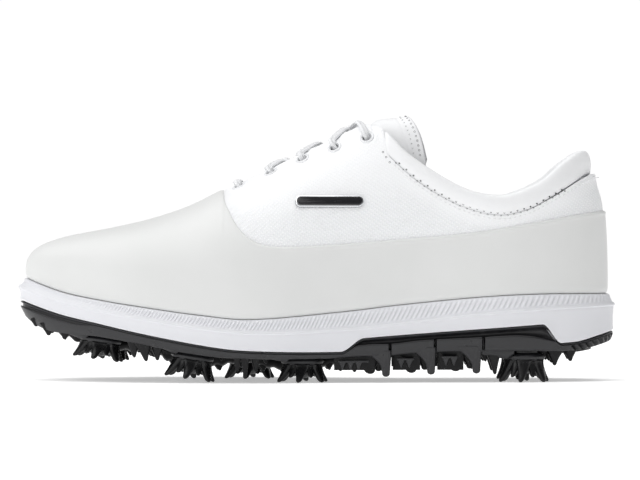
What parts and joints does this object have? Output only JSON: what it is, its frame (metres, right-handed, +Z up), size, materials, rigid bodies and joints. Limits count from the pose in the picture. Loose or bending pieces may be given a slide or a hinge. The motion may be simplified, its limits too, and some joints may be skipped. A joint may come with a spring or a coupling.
{
  "type": "golf shoe",
  "caption": "Low-cut left golf shoe with a leather upper, moulded guard, padded collar and tongue, laced throat, ribbed foam midsole and a black outsole with turn-in soft spikes.",
  "frame": {"origin": "on the ground, under the middle of the box of the whole shoe", "axes": "+Z up, +X to the heel, so the toe is at -X; -Y is the lateral (outer) side and +Y the medial side"},
  "size_m": [0.3, 0.1078, 0.1322],
  "materials": {
    "overlay": "smooth satin white coated leather",
    "quarter_leather": "fine pebbled white leather",
    "collar_leather": "soft white leather over foam",
    "tongue_leather": "soft white leather over foam, perforated at the free edge",
    "lining_textile": "white knitted lining",
    "sock_textile": "grey knitted cover on foam",
    "lace_textile": "round white braided lace",
    "eyelet": "white moulded ring",
    "stiffener": "grey board",
    "foam": "satin off-white moulded foam",
    "board": "fibre board",
    "shank": "black composite",
    "clear_plastic": "clear moulded plastic",
    "outsole_tpu": "glossy black moulded plastic",
    "socket": "black moulded plastic",
    "spike_tpu": "black moulded plastic",
    "badge": "polished bar"
  },
  "bodies": {
    "shoe": {"overlay_guard": "overlay", "vamp": "quarter_leather", "quarter_lateral": "quarter_leather", "quarter_medial": "quarter_leather", "toe_puff": "stiffener", "heel_counter": "stiffener", "lining": "lining_textile", "collar": "collar_leather", "tongue_body": "tongue_leather", "eyelet_lateral_1": "eyelet", "eyelet_lateral_2": "eyelet", "eyelet_lateral_3": "eyelet", "eyelet_lateral_4": "eyelet", "eyelet_lateral_5": "eyelet", "eyelet_medial_1": "eyelet", "eyelet_medial_2": "eyelet", "eyelet_medial_3": "eyelet", "eyelet_medial_4": "eyelet", "eyelet_medial_5": "eyelet", "lace": "lace_textile", "aglet_lateral": "clear_plastic", "aglet_medial": "clear_plastic", "rand": "foam", "midsole": "foam", "lasting_board": "board", "shank": "shank", "heel_cushion": "clear_plastic", "forefoot_cushion": "clear_plastic", "sock_liner": "sock_textile", "outsole": "outsole_tpu", "socket_forefoot_1": "socket", "socket_forefoot_2": "socket", "socket_forefoot_3": "socket", "socket_forefoot_4": "socket", "socket_forefoot_5": "socket", "socket_heel_1": "socket", "socket_heel_2": "socket", "badge_lateral": "badge", "badge_medial": "badge"},
    "spike_forefoot_1": {"spike_forefoot_1": "spike_tpu"},
    "spike_forefoot_2": {"spike_forefoot_2": "spike_tpu"},
    "spike_forefoot_3": {"spike_forefoot_3": "spike_tpu"},
    "spike_forefoot_4": {"spike_forefoot_4": "spike_tpu"},
    "spike_forefoot_5": {"spike_forefoot_5": "spike_tpu"},
    "spike_heel_1": {"spike_heel_1": "spike_tpu"},
    "spike_heel_2": {"spike_heel_2": "spike_tpu"},
    "tongue_flap": {"tongue_top": "tongue_leather"}
  },
  "joints": [
    {"name": "forefoot_1_turn", "type": "hinge", "parent": "shoe", "child": "spike_forefoot_1", "pos_m": [-0.108, -0.017, 0.02222], "axis": [-0.1439, 0, -0.9896], "range_deg": [0, 90]},
    {"name": "forefoot_2_turn", "type": "hinge", "parent": "shoe", "child": "spike_forefoot_2", "pos_m": [-0.0616, -0.033, 0.01396], "axis": [-0.152, 0, -0.9884], "range_deg": [0, 90]},
    {"name": "forefoot_3_turn", "type": "hinge", "parent": "shoe", "child": "spike_forefoot_3", "pos_m": [-0.007, -0.029, 0.0113], "axis": [0, 0, -1], "range_deg": [0, 90]},
    {"name": "forefoot_4_turn", "type": "hinge", "parent": "shoe", "child": "spike_forefoot_4", "pos_m": [-0.106, 0.024, 0.02193], "axis": [-0.1497, 0, -0.9887], "range_deg": [0, 90]},
    {"name": "forefoot_5_turn", "type": "hinge", "parent": "shoe", "child": "spike_forefoot_5", "pos_m": [-0.034, 0.028, 0.01137], "axis": [0, 0, -1], "range_deg": [0, 90]},
    {"name": "heel_1_turn", "type": "hinge", "parent": "shoe", "child": "spike_heel_1", "pos_m": [0.1035, -0.024, 0.0113], "axis": [0, 0, -1], "range_deg": [0, 90]},
    {"name": "heel_2_turn", "type": "hinge", "parent": "shoe", "child": "spike_heel_2", "pos_m": [0.1035, 0.021, 0.0113], "axis": [0, 0, -1], "range_deg": [0, 90]},
    {"name": "tongue_fold", "type": "hinge", "parent": "shoe", "child": "tongue_flap", "pos_m": [0.0313, 0, 0.1258], "axis": [0, -1, 0], "range_deg": [0, 30], "stiffness_Nm_per_rad": 0.02}
  ]
}
